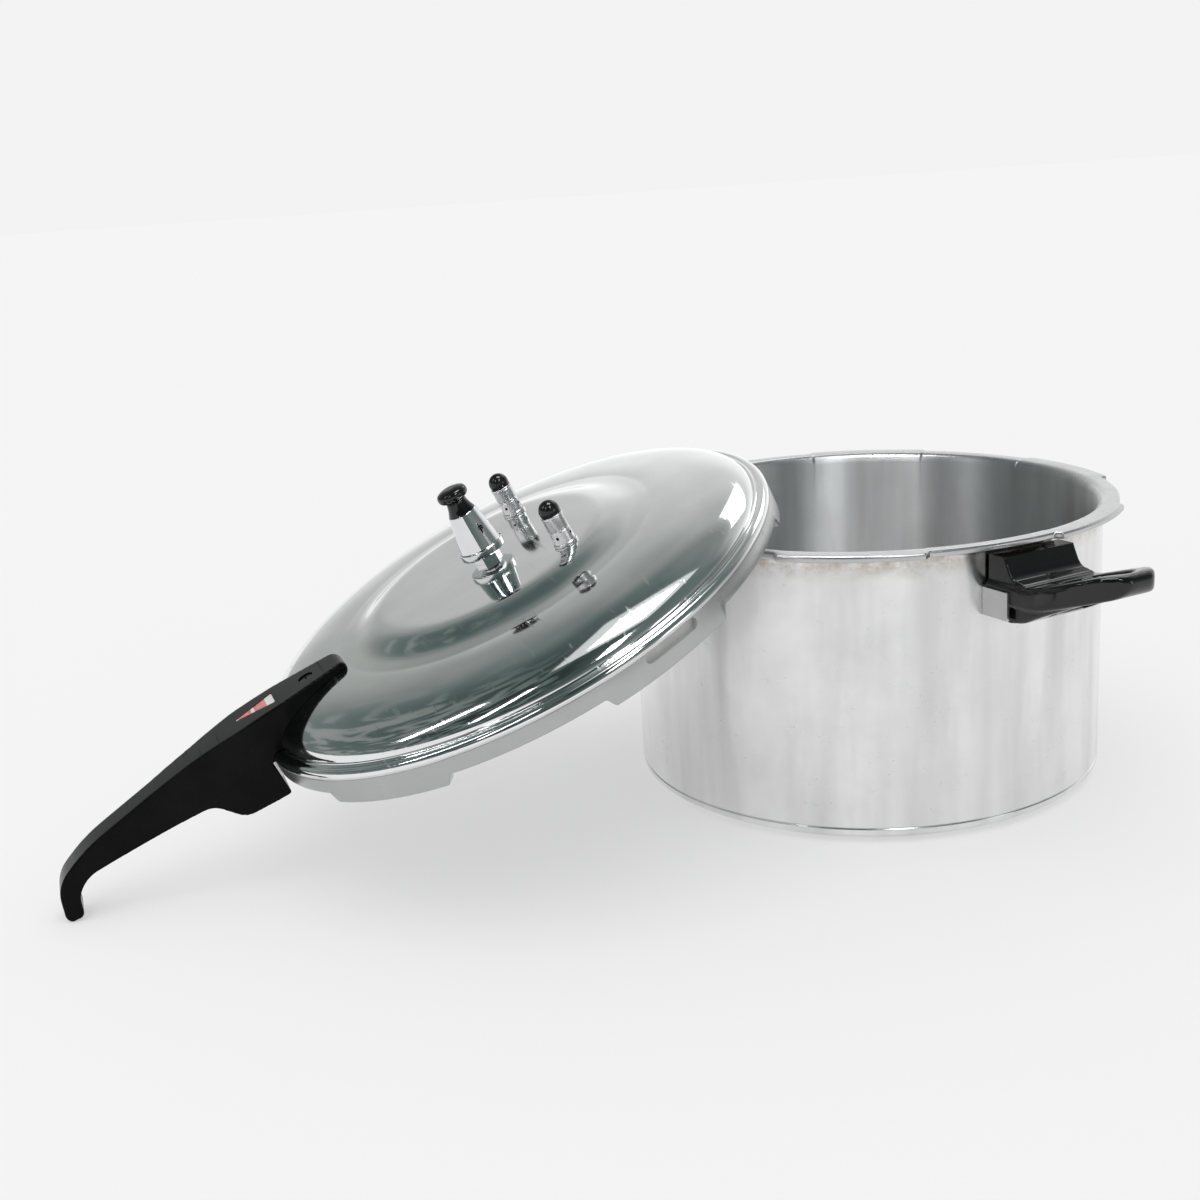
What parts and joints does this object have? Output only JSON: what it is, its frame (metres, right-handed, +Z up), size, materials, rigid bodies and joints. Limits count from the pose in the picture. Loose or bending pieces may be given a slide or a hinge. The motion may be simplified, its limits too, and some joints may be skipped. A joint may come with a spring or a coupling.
{
  "type": "stovetop pressure cooker",
  "caption": "Wide aluminium stovetop pressure cooker with its outer bayonet lid leaning open on the rim, black handles, a regulator weight and safety valves.",
  "frame": {"origin": "centre of the pot's flat base, on the surface it stands on", "axes": "+Z up; the lid leans on the rim on the -X side with its handle pointing to -X"},
  "size_m": [0.6372, 0.4801, 0.2044],
  "materials": {
    "polished_aluminium": "polished, mirror-like on the lid and brushed round inside the pot",
    "valve_aluminium": "turned and bright",
    "chrome": "bright plate",
    "steel": "plain bright steel",
    "black_bakelite": "moulded, glossy",
    "black_rubber": "smooth, glossy",
    "sealing_rubber": "soft, pale and matt",
    "label": "printed insert"
  },
  "bodies": {
    "pot": {"pot_body": "polished_aluminium", "helper_bracket": "steel", "helper_handle": "black_bakelite", "helper_screws": "steel", "lower_bracket": "steel", "lower_handle": "black_bakelite", "lower_screws": "steel"},
    "seal": {"sealing_ring": "sealing_rubber"},
    "lid": {"lid_shell": "polished_aluminium", "lid_bracket": "steel", "lid_handle": "black_bakelite", "handle_label": "label", "nose_screw": "steel", "nose_nut": "steel", "block_screws": "steel", "vent_pipe": "chrome", "vent_washer": "black_rubber", "vent_nut": "steel", "vent_filter": "steel", "valve_a_housing": "valve_aluminium", "valve_a_washer": "black_rubber", "valve_a_nut": "steel", "valve_a_spring": "steel", "valve_b_housing": "valve_aluminium", "valve_b_washer": "black_rubber", "valve_b_nut": "steel", "valve_b_spring": "steel"},
    "valve_a": {"valve_a_plunger": "steel", "valve_a_cap": "black_rubber"},
    "valve_b": {"valve_b_plunger": "steel", "valve_b_cap": "black_rubber"},
    "weight_core": {"weight_core": "steel"},
    "weight": {"weight_body": "chrome", "weight_knob": "black_bakelite"}
  },
  "joints": [
    {"name": "lid_lift", "type": "slide", "parent": "pot", "child": "seal", "axis": [0, 0, 1], "range_m": [0, 0.15]},
    {"name": "lid_turn", "type": "hinge", "parent": "seal", "child": "lid", "pos_m": [-0.21816, 0, 0.12066], "axis": [-0.4057, 0, 0.914], "range_deg": [0, 30]},
    {"name": "weight_lift", "type": "slide", "parent": "lid", "child": "weight_core", "axis": [-0.4057, 0, 0.914], "range_m": [0, 0.04]},
    {"name": "weight_spin", "type": "hinge", "parent": "weight_core", "child": "weight", "pos_m": [-0.24251, 0, 0.1755], "axis": [-0.4057, 0, 0.914], "continuous": true},
    {"name": "valve_a_lift", "type": "slide", "parent": "lid", "child": "valve_a", "axis": [-0.4057, 0, 0.914], "range_m": [0, 0.003], "stiffness_N_per_m": 400, "springref_m": -0.002, "deforming": ["valve_a_spring"]},
    {"name": "valve_b_lift", "type": "slide", "parent": "lid", "child": "valve_b", "axis": [-0.4057, 0, 0.914], "range_m": [0, 0.003], "stiffness_N_per_m": 400, "springref_m": -0.002, "deforming": ["valve_b_spring"]}
  ]
}
